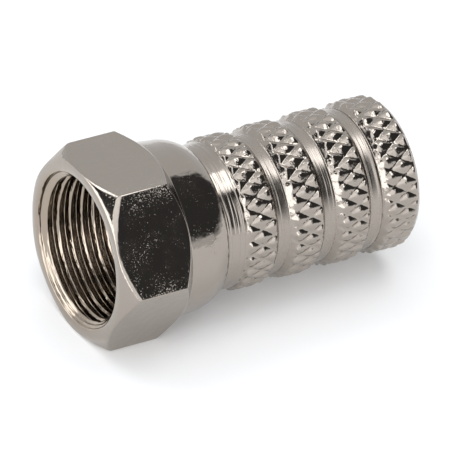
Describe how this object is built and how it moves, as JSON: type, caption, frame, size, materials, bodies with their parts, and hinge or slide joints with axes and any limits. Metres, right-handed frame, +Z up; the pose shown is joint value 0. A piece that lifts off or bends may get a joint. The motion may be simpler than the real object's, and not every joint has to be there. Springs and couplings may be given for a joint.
{
  "type": "screw-on f connector plug",
  "caption": "Screw-on coaxial plug: a hexagonal coupling nut that spins freely on a turned cable body with diamond-knurled bands, for a coaxial cable pushed into its rear bore.",
  "frame": {"origin": "on the axis, in the plane of the body's front face, where the socket that the plug screws onto seats", "axes": "+X along the axis towards the cable end, +Z up, with the plug lying on one flat of its nut"},
  "size_m": [0.0211, 0.0128, 0.011],
  "materials": {
    "nut_nickel": "bright nickel plate",
    "body_nickel": "bright nickel plate over a rolled knurl"
  },
  "bodies": {
    "cable_body": {"knurled_body": "body_nickel"},
    "nut": {"coupling_nut": "nut_nickel"}
  },
  "joints": [
    {"name": "nut_spin", "type": "hinge", "parent": "cable_body", "child": "nut", "pos_m": [0, 0, 0], "axis": [1, 0, 0], "continuous": true}
  ]
}
